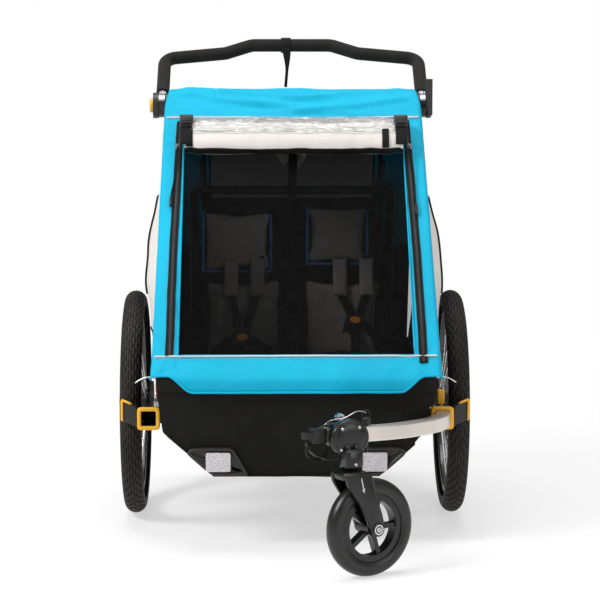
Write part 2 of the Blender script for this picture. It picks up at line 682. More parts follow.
for sg, side, s_end in ((-1, "right", 57.0), (1, "left", 40.0)):
    ss = np.arange(s_end, 716, 5.0)
    pts = [CV(sg * zip_x(s) + 0.8 * nz(s * 0.02, sg), s, 1.6 + 0.5 * nz(s * 0.03, 4.0)) for s in ss]
    ribbon(f"zip_tape_{side}", pts, 17.5, 1.3, "zip_tape", "main_hoop", "strap")
    verts, faces = [], []
    for i, s in enumerate(np.arange(s_end + 4, 712, 3.0)):
        c = Vector(cov(sg * zip_x(s) + (1.1 if i % 2 else -1.1), s, 2.9))
        hx, hs, hn = 2.4, 0.95, 0.9
        base = len(verts)
        for a in (-1, 1):
            for b in (-1, 1):
                for d_ in (-1, 1):
                    q = cov(c.x + a * hx, s + b * hs, 2.7 + d_ * hn)
                    verts.append(V(*q))
        for f in ((0, 1, 3, 2), (4, 6, 7, 5), (0, 4, 5, 1), (2, 3, 7, 6), (0, 2, 6, 4), (1, 5, 7, 3)):
            faces.append(tuple(base + v for v in f))
    mesh_obj(f"zip_teeth_{side}", verts, faces, "plastic_dark", "main_hoop", "zip_metal", smooth_all=False)
    topstitch(f"zip_stitch_{side}", [CV(sg * (zip_x(s) + 7.2), s, 2.6) for s in ss], "plastic_dark", "main_hoop")
    # slider with its pull cord
    zb = "zip_left" if side == "left" else "zip_right"
    c = (sg * 255, 632)
    rot = Matrix.Rotation(math.radians(45), 3, "X")
    parts = []
    y, z = cov(0, 632, 4.4)[1:]
    parts.append(rbox("zs1", (sg * 255, y, z), (10.5, 15, 3.6), 1.2, "steel_dark", zb, "zip_metal", rot))
    y, z = cov(0, 635, 8.0)[1:]
    parts.append(rbox("zs2", (sg * 255, y, z), (4.5, 9, 3.0), 1.0, "steel_dark", zb, "zip_metal", rot))
    join(parts, f"zip_slider_shown_{side}")
    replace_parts(bpy.data.objects[f"zip_slider_shown_{side}"], f"zipper_slider_{side}")
    cord = []
    drop = 175 if sg > 0 else 150
    for i in range(26):
        t = i / 25
        x = sg * (254 + (11 if sg > 0 else 9) * t) + 3.0 * math.sin(t * 5) * t
        p = cov(x, 630 - drop * t, 10.5 - 3.0 * t + 2.2 * math.sin(t * 7))
        cord.append(V(*p))
    tube(f"zip_cord_{side}", cord, 1.9, "cord_black", zb, "strap", seg=8)
    e = cord[-1]
    tube(f"zip_cord_end_{side}", [e + Vector((0, 0.0, 0.004)), e, e + Vector((0, -0.010, -0.012)), e + Vector((0, -0.014, -0.017))],
         3.2, "plastic_dark", zb, "strap", seg=10)


# ---- insect mesh
def mesh_pt(u, s):
    return V(*cov(u, s, -5.0 - 4.5 * math.cos(u / 250 * math.pi / 2) * math.sin(max(0, min(1, (s - 50) / 600)) * math.pi) + 1.2 * nz(u * 0.015, s * 0.015, 1)))


ms = grid("insect_mesh_front", list(np.linspace(-249, 249, 51)), list(np.linspace(52, 652, 61)), mesh_pt, ["insect_mesh"], "main_hoop", "mesh")
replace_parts(ms, "mesh_screen")

# ---- rolled window
RC, RN, RA, RB = 645.0, 27.5, 49.0, 26.0


def roll_pt(th, x, k_=1.0, puff=0.0):
    t = math.radians(th)
    wob = 1.0 + 0.05 * nz(x * 0.012, math.cos(t) * 1.3, math.sin(t) * 1.3) + 0.03 * nz(x * 0.05, th * 0.02, 2.0)
    a, b = RA * k_ * wob + puff, RB * k_ * wob + puff
    edge = abs(x) / 237.0
    pinch = 1.0 - 0.10 * math.exp(-((abs(x) - 226) / 14.0) ** 2)
    return cov(x, RC + a * pinch * math.cos(t), RN + b * pinch * math.sin(t))


ths = list(np.linspace(0, 360, 73))[:-1]
xs = list(np.linspace(-238, 238, 120))
roll = grid("window_roll_shown", ths, xs, lambda t, x: V(*roll_pt(t, x)), ["clear_film", "cloth_offwhite", "cloth_black"], "main_hoop", "clear_film",
            fmat=lambda t, x: (0 if (t < 106 + 3 * nz(x * 0.02, 1) or t > 320) else (1 if t < 163 + 2 * nz(x * 0.02, 8) else (2 if t < 200 else 1))), wrap=True)
# the spiral of layers closing each end
spir = []
for sg in (-1, 1):
    verts, faces, fm = [], [], []
    turns = 5
    N_ = 150
    for i in range(N_ + 1):
        t = i / N_
        k_ = lerp(0.99, 0.15, t)
        for dx in (0.0, -7.0):
            verts.append(V(*roll_pt(t * 360 * turns, sg * (238 + dx), k_)))
    for i in range(N_):
        faces.append((2 * i, 2 * i + 1, 2 * i + 3, 2 * i + 2)); fm.append(1)
    c0 = len(verts)
    verts.append(V(*roll_pt(0, sg * 232, 0.0)))
    base = len(verts)
    for t in range(36):
        verts.append(V(*roll_pt(t * 10, sg * 232, 0.97)))
    for t in range(36):
        faces.append((c0, base + t, base + (t + 1) % 36)); fm.append(0)
    o = mesh_obj(f"rollend{sg}", verts, faces, ["cloth_offwhite", "clear_film"], "main_hoop", "clear_film", fm)
    spir.append(o)
roll_all = join([roll] + spir, "window_roll_shown_all")
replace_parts(roll_all, "window_roll")
# seam between film and cloth
tube("roll_seam", [V(*roll_pt(107 + 3 * nz(x * 0.02, 1), x, 1.012)) for x in np.arange(-236, 236.1, 5)], 1.3, "piping_white", "main_hoop", "side_cloth", seg=6)
tube("roll_edge", [V(*roll_pt(164 + 2 * nz(x * 0.02, 8), x, 1.02)) for x in np.arange(-237, 237.1, 5)], 2.2, "cloth_black", "main_hoop", "strap", seg=8)
for sg, side in ((-1, "right"), (1, "left")):
    x = sg * 238.5
    pts = [CV(x, 716, 2.2), CV(x, 705, 3.5)] + [V(*roll_pt(t, x * 0.985, 1.0, 3.0)) for t in range(8, 150, 6)]
    ribbon(f"roll_strap_{side}", pts, 25, 1.8, "webbing", "main_hoop", "strap")
    rot = Matrix.Rotation(math.radians(72), 3, "X")
    c = roll_pt(62, x * 0.985, 1.0, 7.5)
    c2 = roll_pt(84, x * 0.985, 1.0, 7.5)
    a = rbox("bk1", c, (30, 17, 8.5), 2.6, "plastic_black", "main_hoop", "black_plastic", Matrix.Rotation(math.radians(60), 3, "X"))
    b = rbox("bk2", c2, (26, 13, 7.5), 2.2, "plastic_gloss_black", "main_hoop", "black_plastic", Matrix.Rotation(math.radians(80), 3, "X"))
    join([a, b], f"roll_buckle_{side}")
    xt = sg * (228 if sg < 0 else 200)
    pts = [V(*roll_pt(t, xt, 1.0, 2.2)) for t in range(96, 160, 6)]
    ribbon(f"roll_tab_{side}", pts, 15, 1.6, "webbing", "main_hoop", "strap")


# ------------------------------------------------------------------ side and rear cloth
def rear_y(z):
    return 432 - (z - 338) * 0.3815


def front_y(z):
    return -452 + (z - 358) / 1.0142 + 42


def side_pt(sg):
    def f(u, v):
        z = lerp(332, 926, v)
        y0 = max(front_y(z), -424)
        y1 = rear_y(z) - 1
        if z > 905:
            y0 = min(y0, y1 - 30)
        y = lerp(y0, y1, u)
        bul = 0.0
        zz = (z - 560) / (190.0 if z > 560 else 235.0)
        if abs(zz) < 1:
            bul = 34.0 * (1 - zz * zz) ** 1.2
        fy = smooth(u / 0.26) * smooth((1 - u) / 0.25)
        bul *= 0.25 + 0.75 * fy if u > 0.5 else fy
        x = 284.5
        if z > 800:
            x = lerp(284.5, 279.0, smooth((z - 800) / 50))
        x += bul + 2.4 * nz(y * 0.008, z * 0.012, 5 + sg) + 1.2 * nz(y * 0.03, z * 0.02, 9 + sg)
        x += 1.3 * math.sin((y * 0.6 + z) * 0.045) * fy * (1 if abs(zz) < 1 else 0.3)
        return V(sg * x, y, z)
    return f


def side_mat(u, v):
    z = lerp(332, 926, v)
    if z < 430:
        return 1
    if 0.10 < u < 0.90 and 470 < z < 740 and 0.16 < u < 0.84:
        return 2 if (0.24 < u < 0.80 and 500 < z < 700) else 0
    return 0


for sg, side in ((-1, "right"), (1, "left")):
    o = grid(f"side_cloth_{side}", list(np.linspace(0, 1, 71)), list(np.linspace(0, 1, 80)), side_pt(sg),
             ["cloth_offwhite", "cloth_black", "side_film"], None, "side_cloth", fmat=side_mat)
    m = o.modifiers.new("t", "SOLIDIFY"); m.thickness = 0.0015; m.offset = 0
    apply_mods(o)
    o.data.polygons.foreach_set("use_smooth", np.full(len(o.data.polygons), True))
    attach(o, "chassis")
    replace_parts(o, "side_panels")
    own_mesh(o)
    f = side_pt(sg)
    lines = []
    v430 = (430 - 332) / 594
    a = tube("sa", [f(u, v430) + Vector((sg * 0.0016, 0, 0)) for u in np.linspace(0, 1, 60)], 2.0, "cloth_black", "chassis", "strap", seg=8)
    box_ = [(0.24, 500), (0.80, 500), (0.80, 700), (0.24, 700), (0.24, 500)]
    pts = []
    for (u0, z0), (u1, z1) in zip(box_[:-1], box_[1:]):
        for i in range(24):
            pts.append(f(lerp(u0, u1, i / 24), (lerp(z0, z1, i / 24) - 332) / 594) + Vector((sg * 0.0016, 0, 0)))
    b = tube("sb", pts, 3.4, "cloth_black", "chassis", "strap", seg=8, closed=True, flat=0.5)
    c = tube("sc", [f(0.05, v) + Vector((sg * 0.0016, 0, 0)) for v in np.linspace(0.0, 0.8, 60)], 1.8, "cloth_black", "chassis", "strap", seg=8)
    o = join([a, b, c], f"side_seams_{side}")
    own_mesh(o)


def rear_pt(u, v):
    z = lerp(334, 922, v)
    hw = lerp(281.0, 275.5, smooth((z - 790) / 50))
    x = lerp(-hw, hw, u)
    y = rear_y(z) + 3
    e = smooth(u / 0.06) * smooth((1 - u) / 0.06)
    y += (10 * math.sin(math.pi * v) + 4 * nz(x * 0.008, z * 0.008, 2) + 1.8 * nz(x * 0.03, z * 0.015, 6)) * e
    return V(x, y, z)


rear = grid("rear_cloth", list(np.linspace(0, 1, 90)), list(np.linspace(0, 1, 90)), rear_pt, ["cloth_turquoise", "cloth_black", "side_film"], None, "cover_cloth",
            fmat=lambda u, v: 1 if v < 0.40 else (2 if 0.16 < u < 0.84 and 0.56 < v < 0.86 else 0))
m = rear.modifiers.new("t", "SOLIDIFY"); m.thickness = 0.0015; m.offset = 0
apply_mods(rear)
rear.data.polygons.foreach_set("use_smooth", np.full(len(rear.data.polygons), True))
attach(rear, "chassis")
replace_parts(rear, "rear_panel")
# folding, the rear sheet gathers along its own slope towards the rim of the tub
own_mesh(rear)
for nm, pg in (("a", [(-47, 806), (-8, 806), (-8, 778), (-16, 764), (-30, 770)]), ("b", [(7, 806), (43, 806), (30, 778), (16, 758), (7, 762)])):
    vv = [V(x, 214 + 2 * math.sin(x), z) for x, z in pg]
    o = mesh_obj(f"vent_lining_{nm}", vv + [v + Vector((0, 0.002, 0)) for v in vv],
                 [(0, 1, 2, 3, 4), (9, 8, 7, 6, 5)] + [(i, i + 5, (i + 1) % 5 + 5, (i + 1) % 5) for i in range(5)], "cloth_offwhite", "chassis", "side_cloth")
    fix_normals(o)
    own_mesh(o)
pts = []
for (u0, v0), (u1, v1) in (((0.16, 0.56), (0.84, 0.56)), ((0.84, 0.56), (0.84, 0.86)), ((0.84, 0.86), (0.16, 0.86)), ((0.16, 0.86), (0.16, 0.56))):
    for i in range(24):
        pts.append(rear_pt(lerp(u0, u1, i / 24), lerp(v0, v1, i / 24)) + Vector((0, 0.002, 0)))
a = tube("ra", pts, 4.0, "cloth_black", "chassis", "strap", seg=8, closed=True, flat=0.5)
b = tube("rb", [rear_pt(u, 0.40) + Vector((0, 0.002, 0)) for u in np.linspace(0, 1, 60)], 2.2, "piping_white", "chassis", "side_cloth", seg=8)
c = tube("rc", [rear_pt(u, 0.93) + Vector((0, 0.002, 0)) for u in np.linspace(0, 1, 60)], 2.2, "piping_white", "chassis", "side_cloth", seg=8)
o = join([a, b, c], "rear_seams")
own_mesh(o)


# ------------------------------------------------------------------ tub
def tub_half(z):
    if z >= 246:
        return lerp(272, 282, (z - 246) / 86)
    return lerp(170, 272, (z - 152) / 94)


def tub_section(y):
    """Closed run of the tub's side-bottom-side outline at y, as (x, z)."""
    pts = []
    for z in np.linspace(333, 252, 12):
        pts.append((-tub_half(z), z))
    for i in range(1, 6):
        t = i / 6
        z = lerp(252, 238, t)
        pts.append((-tub_half(z) + 0.8 * math.sin(t * math.pi), z))
    for z in np.linspace(238, 158, 14):
        pts.append((-tub_half(z), z))
    for i in range(1, 4):
        pts.append((lerp(-tub_half(158), -164, i / 4), lerp(158, 152, i / 4)))
    xs_ = list(np.linspace(-160, 160, 33))
    left = pts
    mid = [(x, 152 + 0.0) for x in xs_]
    right = [(-x, z) for x, z in reversed(left)]
    return left + mid + right


SEC = tub_section(0)
ys = list(np.linspace(440, -383, 90)) + list(np.linspace(-387, -440, 14))


def corner(half_w, y, z, sg):
    """Half width of the tub near the front: pressed in on the left where the tow bar passes."""
    if sg < 0:
        return half_w
    cut = smooth((z - 218) / 14) * smooth((302 - z) / 16)
    return lerp(half_w, min(half_w, 340 + (y + 311)), cut)


def tub_pt(i, y):
    x, z = SEC[int(i)]
    front = -410 - (z - 155) * 0.1695
    yy = max(y, front) if y > -383 else lerp(-383, front, (-383 - y) / 57)
    xx = x
    if yy < -370 and abs(x) > 175:
        xx = math.copysign(corner(abs(x), yy, z, math.copysign(1, x)), x)
    d = 2.2 * nz(x * 0.01, yy * 0.008, z * 0.01) + 1.0 * nz(x * 0.03, yy * 0.03, z * 0.03)
    d *= smooth((336 - z) / 20) if z > 316 else 1
    sx = math.copysign(1, x) if abs(x) > 175 else x / 175
    nx, nzv = (sx, 0.0) if z > 246 else ((sx * 0.7, -0.7) if abs(x) > 168 else (0, -1.0))
    return V(xx + nx * d, yy, z + nzv * d - (0 if abs(x) > 168 else 0))


tub = grid("tub_cloth", list(range(len(SEC))), ys, tub_pt, ["cloth_black"], None, "tub_fabric")


def panel(front):
    zs = list(np.linspace(152, 333, 50))
    us_ = list(np.linspace(-1, 1, 90))

    def f(u, z):
        y = -410 - (z - 155) * 0.1695 if front else 440.0
        h_ = tub_half(max(z, 152))
        w = corner(h_, y, z, math.copysign(1, u)) if front else h_
        x = u * w
        d = 2.6 * nz(x * 0.008, z * 0.012, 3.0) + 1.1 * nz(x * 0.03, z * 0.03, 8.0) + 1.2 * math.sin(x * 0.012) * math.sin((z - 152) / 181 * math.pi)
        d *= smooth((1 - abs(u)) / 0.06) * smooth((z - 152) / 12)
        return V(x, y - d if front else y + d, z)
    return grid("pf" if front else "pr", us_, zs, f, ["cloth_black"], "chassis", "tub_fabric")


fp, rp = panel(True), panel(False)
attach(tub, "chassis")
fp_o = join([tub, fp, rp], "tub_cloth_all")
bm = bmesh.new(); bm.from_mesh(fp_o.data)
bmesh.ops.remove_doubles(bm, verts=bm.verts, dist=0.0012)
bmesh.ops.recalc_face_normals(bm, faces=bm.faces)
bm.to_mesh(fp_o.data); bm.free()
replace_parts(fp_o, "lower_body")
# bound edges and seams of the tub
edge = [V(-282, -438, 334), V(-282, 438, 334), V(282, 438, 334), V(282, -438, 334)]
pts = []
for a, b in zip(edge, edge[1:] + edge[:1]):
    n_ = max(2, int((b - a).length / 0.02))
    pts += [a.lerp(b, i / n_) for i in range(n_)]
tube("tub_rim_binding", pts, 3.6, "webbing", "chassis", "strap", seg=8, closed=True)


def wall(x, z, out=1.8):
    return V(x, -410 - (z - 155) * 0.1695 - out, z)


seam = [wall(-262, 238), wall(-168, 154), wall(168, 154), wall(222, 202)]
pts = []
for a, b in zip(seam[:-1], seam[1:]):
    n_ = max(2, int((b - a).length / 0.01))
    pts += [a.lerp(b, i / n_) for i in range(n_)]
pts.append(seam[-1])
tube("tub_front_seam", pts, 1.7, "webbing", "chassis", "strap", seg=6)
for sg, side in ((-1, "right"), (1, "left")):
    pts = [V(sg * (tub_half(246) + 1.2), y, 246) for y in np.linspace(-383, 438, 60)]
    tube(f"tub_side_seam_{side}", pts, 1.6, "webbing", "chassis", "strap", seg=6)
    # safety wire loops beside the receivers
    x0 = 289 if sg > 0 else 292
    pts = []
    for i in range(20):
        t = i / 19
        pts.append(V(sg * lerp(285, 336, t), lerp(-300, -296, t), 336 + 9 * math.sin(t * math.pi) - (6 * t)))
    tube(f"guard_wire_{side}", pts, 1.5, "steel", "chassis", "pins_steel", seg=8)
    rbox(f"guard_stay_{side}", (sg * 291, -268, 316), (7, 12, 20), 2.5, "plastic_orange", "chassis", "orange_plastic")
    # cloth drawn up over the foot of the hoop
    run = [(sg * 283.5, y) for y in np.linspace(-372, -438, 9)] + [(sg * 281, -442.5), (sg * 275, -443.5)] + [(sg * x, -443.5) for x in np.linspace(262, 186, 10)]

    def collar(i, v, run=run, sg=sg):
        x, y = run[int(i)]
        h_ = 30 * smooth(i / 5.0) * smooth((len(run) - 1 - i) / 7.0)
        z = 331 + v * h_
        return V(x + sg * 0.8 * nz(y * 0.05, z * 0.05), y - 1.0 * nz(x * 0.05, z * 0.06, 4.0) - 0.6, z)

    o = grid(f"foot_cloth_{side}", list(range(len(run))), list(np.linspace(0, 1, 9)), collar, ["cloth_black"], None, "tub_fabric")
    m = o.modifiers.new("t", "SOLIDIFY"); m.thickness = 0.0014; m.offset = 0
    apply_mods(o)
    o.data.polygons.foreach_set("use_smooth", np.full(len(o.data.polygons), True))
    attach(o, "chassis")


# ------------------------------------------------------------------ padded parts
def pad(name, c, size, mat, body, slot, tilt=0.0, power=4.0, dome=0.5, nu=40, nv=40, wr=1.6, taper=0.0):
    """Crowned cushion: c centre, size (x, thickness, z) in mm, leaning back by tilt degrees."""
    w, t, h = size
    verts, faces = [], []
    rot = Matrix.Rotation(-math.radians(tilt), 3, "X")
    rows = []
    for side in (1, -1):
        ids = []
        for j in range(nv + 1):
            row = []
            for i in range(nu + 1):
                u, v = -1 + 2 * i / nu, -1 + 2 * j / nv
                # pull the sides in between the corners
                ex = 1 - 0.05 * (1 - v * v)
                ez = 1 - 0.05 * (1 - u * u)
                x = u * w / 2 * ex * (1 - taper * (v + 1) / 2)
                z = v * h / 2 * ez
                k_ = max(0.0, (1 - abs(u) ** power) * (1 - abs(v) ** power)) ** dome
                y = -side * t / 2 * k_
                if 0 < i < nu and 0 < j < nv:
                    y += wr * (nz(x * 0.02, z * 0.02, 4 + side) + 0.5 * nz(x * 0.06, z * 0.06, side)) * k_
                p = rot @ Vector((x, y, z))
                verts.append(V(c[0] + p.x, c[1] + p.y, c[2] + p.z))
                row.append(len(verts) - 1)
            ids.append(row)
        for j in range(nv):
            for i in range(nu):
                q = (ids[j][i], ids[j][i + 1], ids[j + 1][i + 1], ids[j + 1][i])
                faces.append(q if side > 0 else q[::-1])
    o = mesh_obj(name, verts, faces, mat, body, slot)
    bm = bmesh.new(); bm.from_mesh(o.data)
    bmesh.ops.remove_doubles(bm, verts=bm.verts, dist=0.0004)
    bmesh.ops.recalc_face_normals(bm, faces=bm.faces)
    bm.to_mesh(o.data); bm.free()
    return o


def puff(o, cap_mm=9.0, voxel=0.006, pressure=4.0, frames=20):
    """Inflates a closed pad with cloth simulation; each point moves at most cap_mm."""
    m = o.modifiers.new("r", "REMESH"); m.mode = "VOXEL"; m.voxel_size = voxel
    apply_mods(o)
    rest = np.empty(len(o.data.vertices) * 3, np.float64); o.data.vertices.foreach_get("co", rest)
    rest = rest.reshape(-1, 3)
    c = o.modifiers.new("c", "CLOTH")
    c.settings.use_pressure = True
    c.settings.uniform_pressure_force = pressure
    c.settings.quality = 4
    c.settings.effector_weights.gravity = 0
    c.settings.tension_stiffness = 12
    c.settings.bending_stiffness = 0.6
    c.point_cache.frame_start, c.point_cache.frame_end = 1, frames
    for f in range(1, frames + 1):
        bpy.context.scene.frame_set(f)
    dg = bpy.context.evaluated_depsgraph_get()
    ev = o.evaluated_get(dg)
    got = np.empty(len(ev.data.vertices) * 3, np.float64); ev.data.vertices.foreach_get("co", got)
    got = got.reshape(-1, 3)
    o.modifiers.clear()
    if len(got) == len(rest):
        d = got - rest
        ln = np.linalg.norm(d, axis=1, keepdims=True)
        lim = cap_mm / 1000.0
        d *= np.minimum(1.0, lim / np.maximum(ln, 1e-9))
        o.data.vertices.foreach_set("co", (rest + d).ravel())
    bpy.context.scene.frame_set(1)
    o.data.polygons.foreach_set("use_smooth", np.full(len(o.data.polygons), True))
    return o


def squash_seat(o):
    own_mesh(o)
    return o


LEAN = 6.3
seat_objs = []
# sling: back and base sheets behind the cushions
def sling_pt(u, v):
    x = lerp(-207, 207, u)
    if v < 0.42:
        t = v / 0.42
        y, z = lerp(-138, 146, t), lerp(296, 291, t) - 6 * math.sin(math.pi * t) * (0.6 + 0.4 * math.cos(x * 0.03))
    else:
        t = (v - 0.42) / 0.58
        y, z = lerp(150, 196, t) + 10 * math.sin(math.pi * t) * (0.5 - 0.5 * math.cos(x * 0.0304)), lerp(293, 690, t)
    return V(x, y + 2 * nz(x * 0.02, z * 0.02), z)


o = grid("seat_sling_cloth", list(np.linspace(0, 1, 60)), list(np.linspace(0, 1, 70)), sling_pt, ["cloth_black"], None, "seat_cloth")
m = o.modifiers.new("t", "SOLIDIFY"); m.thickness = 0.003; m.offset = 0
apply_mods(o)
o.data.polygons.foreach_set("use_smooth", np.full(len(o.data.polygons), True))
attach(o, "chassis"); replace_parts(o, "seat_sling"); squash_seat(o)

for sg, cx, zc, hh, ww in ((-1, -127, 592, 138, 156), (1, 102, 606, 132, 138)):
    side = "right" if sg < 0 else "left"
    p = pad(f"head_pad_{side}", (cx, 158, zc), (ww, 20, hh), "cloth_seat", "chassis", "seat_cloth", tilt=LEAN)
    puff(p, 7)
    squash_seat(p)
    # piping down both sides and across the bottom
    pts = []
    for (a, b), (c_, d_) in (((-1, 1), (-1, -1)), ((-1, -1), (1, -1)), ((1, -1), (1, 1))):
        for i in range(20):
            u, v = lerp(a, c_, i / 20), lerp(b, d_, i / 20)
            pts.append(V(cx + u * ww / 2 * 0.99, 158 - 3 + v * hh / 2 * 0.11, zc + v * hh / 2 * 0.99))
    squash_seat(tube(f"head_piping_{side}", pts, 3.2, "cloth_blue", "chassis", "seat_cloth", seg=8))
    cx2 = -112 if sg < 0 else 112
    q = pad(f"back_pad_{side}", (cx2, 134, 415), (180, 24, 190), "cloth_seat", "chassis", "seat_cloth", tilt=LEAN)
    puff(q, 8); squash_seat(q)
    q = pad(f"seat_cushion_{side}", (cx2, -2, 312), (182, 26, 250), "cloth_seat", "chassis", "seat_cloth", tilt=90)
    puff(q, 8); squash_seat(q)
squash_seat(pad("seat_divider", (0, 60, 352), (22, 150, 90), "cloth_black", "chassis", "seat_cloth"))

# harness: shoulder straps with pads meeting at the buckle, hip straps, crotch strap
for s, x, y, z, bb in ((-1, -115, 60, 383, "right"), (1, 142, 100, 417, "left")):
    objs = []
    for k_ in (-1, 1):
        top = (x + k_ * 34 - s * 6, 146, 560)
        mid = (x + k_ * 26 - s * 3, 112, 470)
        pts = [V(*[lerp(a, b, t) for a, b in zip(top, mid)]) for t in np.linspace(0, 1, 10)] + \
              [V(*[lerp(a, b, t) for a, b in zip(mid, (x + k_ * 9, y + 8, z + 10))]) for t in np.linspace(0.1, 1, 10)]
        objs.append(ribbon("hs", pts, 19, 2, "webbing", "chassis", "strap"))
        objs.append(pad("hp", ((top[0] + mid[0]) / 2, 124, 512), (34, 12, 92), "cloth_seat", "chassis", "seat_cloth", tilt=20, nu=14, nv=24))
        pts = [V(lerp(x + k_ * 14, x + k_ * 84, t), lerp(y + 10, 128, t), lerp(z - 2, 330, t)) for t in np.linspace(0, 1, 16)]
        objs.append(ribbon("hh", pts, 19, 2, "webbing", "chassis", "strap", side=(0, 0.2, 1)))
    pts = [V(x, lerp(y + 8, y - 40, t), lerp(z - 18, 326, t)) for t in np.linspace(0, 1, 12)]
    objs.append(ribbon("hc", pts, 22, 2, "webbing", "chassis", "strap"))
    o = join(objs, f"harness_{bb}")
    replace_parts(o, "harness_straps")
    squash_seat(o)
strap_pts = [V(-3 + 4 * math.sin(t * 3), lerp(140, 200, t), lerp(886, 690, t)) for t in np.linspace(0, 1, 14)]
o = ribbon("centre_strap", strap_pts, 20, 2, "webbing", "chassis", "strap")
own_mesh(o)

# ------------------------------------------------------------------ wheels
for s, side in ((1, "left"), (-1, "right")):
    body = f"wheel_{side}"
    verts, faces = [], []
    nseg, prof = 300, []
    for a in list(range(-118, -70, 8)) + list(range(-68, 70, 4)) + list(range(72, 119, 8)):
        prof.append(math.radians(a))
    for i in range(nseg):
        th = 2 * math.pi * i / nseg
        for j, a in enumerate(prof):
            r = 23.0
            # tread: centre rib, alternating shoulder blocks, smooth sidewall with two rings
            ad = abs(math.degrees(a))
            if ad < 70:
                col = int((ad + 6) // 16)
                gap = ((ad + 6) % 16) > 12.5 and ad < 66
                blk = (i + 2 * col + (1 if a > 0 else 0)) % 5
                r += -1.7 if (gap or blk == 4) else 0.45
            if 88 < ad < 96:
                r += 0.4
            R = 223.5 + r * math.cos(a)
            X = s * 350 + r * math.sin(a)
            verts.append(V(X, R * math.sin(th), 247 + R * math.cos(th)))
    np_ = len(prof)
    fm = []
    for i in range(nseg):
        i2 = (i + 1) % nseg
        for j in range(np_ - 1):
            faces.append((i * np_ + j, i * np_ + j + 1, i2 * np_ + j + 1, i2 * np_ + j))
            c0 = sum((verts[q_] for q_ in faces[-1]), Vector()) / 4
            y_, z_ = c0.y * 1000 - SY, c0.z * 1000 - 247
            rr_ = math.hypot(math.hypot(y_, z_) - 223.5, c0.x * 1000 - s * 350)
            fm.append(1 if rr_ < 22.0 and abs(prof[j]) < 1.2 else 0)
    o = mesh_obj(f"tyre_tread_{side}", verts, faces, ["tyre_rubber", "tyre_groove"], None, "tyre", fm)
    fix_normals(o)
    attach(o, body)
    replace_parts(o, f"tyre_{side}")
    # spoke nipples and a valve
    parts = []
    for k_ in range(28):
        a0 = 2 * math.pi * k_ / 28
        p0 = V(s * 350, 195.8 * math.cos(a0), 247 + 195.8 * math.sin(a0))
        p1 = V(s * 350, 188.0 * math.cos(a0), 247 + 188.0 * math.sin(a0))
        parts.append(tube("np", [p0, p0.lerp(p1, 0.5), p1], 2.2, "steel", body, "spoke_steel", seg=6))
    a0 = math.radians(96.4)
    p0 = V(s * 350, 195.5 * math.cos(a0), 247 + 195.5 * math.sin(a0)); p1 = V(s * 350, 160 * math.cos(a0), 247 + 160 * math.sin(a0))
    parts.append(tube("vl", [p0, p0.lerp(p1, 0.5), p1], 3.2, "plastic_dark", body, "tyre", seg=8))
    join(parts, f"nipples_{side}")

# ------------------------------------------------------------------ small shown parts
bx, by, bz = 0, 160 + 250 * math.cos(math.radians(33.5)), 901 + 250 * math.sin(math.radians(33.5))
pts = [V(-13, by + 17.2 * math.sin(t), bz + 17.2 * math.cos(t)) for t in np.linspace(0, 2 * math.pi, 30)]
a = ribbon("w1", pts, 23, 1.8, "webbing", "handlebar", "strap")
pts = [V(-12 + 2 * math.sin(t * 4), by - 17 + 6 * t, bz - 6 - 92 * t) for t in np.linspace(0, 1, 16)]
b = ribbon("w2", pts, lambda t: lerp(20, 7, smooth(t * 1.6)), 1.8, "webbing", "handlebar", "strap")
o = join([a, b], "wrist_strap_shown")
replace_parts(o, "wrist_strap")

# hem ring, tether and safety strap on the tow bar
lo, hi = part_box("safety_strap")
cst = (lo + hi) / 2
sx = Vector((0.951, 0.309, 0.0))
pts = []
for t in np.linspace(0, 2 * math.pi, 40):
    pts.append(cst + sx * (0.0165 * math.cos(t)) * 1.25 + Vector((0, 0, 1)) * (0.0165 * math.sin(t)))
o = ribbon("safety_strap_shown", pts, 17, 2.2, "webbing", "chassis", "strap", side=(0.309, -0.951, 0))
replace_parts(o, "safety_strap")
pts = []
way = [(14, -641, 262), (16.7, -644, 254.7), (24.3, -650, 244.3), (33.8, -656, 237.6), (51.1, -660, 231.5), (66, -657, 230.5), (74, -648, 233), (76, -640, 240)]
for i in range(len(way) - 1):
    for j in range(5):
        t = j / 5
        pts.append(V(*[lerp(a, b, t) for a, b in zip(way[i], way[i + 1])]))
pts.append(V(*way[-1]))
ribbon("safety_webbing", pts, 15, 2.2, "strap_gloss", "chassis", "strap", side=(0.309, -0.951, 0.1))
way = [(33, -652, 284), (38, -655, 291), (48, -656, 297), (56, -653, 299), (66, -645, 298), (74, -640, 299)]
pts = []
for i in range(len(way) - 1):
    for j in range(5):
        t = j / 5
        pts.append(V(*[lerp(a, b, t) for a, b in zip(way[i], way[i + 1])]))
pts.append(V(*way[-1]))
ribbon("safety_webbing_top", pts, 13, 2.0, "strap_gloss", "chassis", "strap", side=(0.309, -0.951, 0.1))
lo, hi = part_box("hitch_pin")
pc = Vector(((lo.x + hi.x) / 2, (lo.y + hi.y) / 2, hi.z - 0.006))
lo2, hi2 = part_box("flex_connector")
q0 = Vector(((lo2.x + hi2.x) / 2 + 0.012, (lo2.y + hi2.y) / 2, hi2.z + 0.002))
pts = []
for t in np.linspace(0, 1, 26):
    p = pc.lerp(q0, t)
    p.z = lerp(pc.z, q0.z, t) + 0.010 * math.sin(t * math.pi) + 0.004 * math.sin(t * 9)
    p.y += -0.012 * math.sin(t * math.pi)
    pts.append(p)
tube("tether_wire", pts, 0.9, "steel", "hitch_pin", "pins_steel", seg=8)

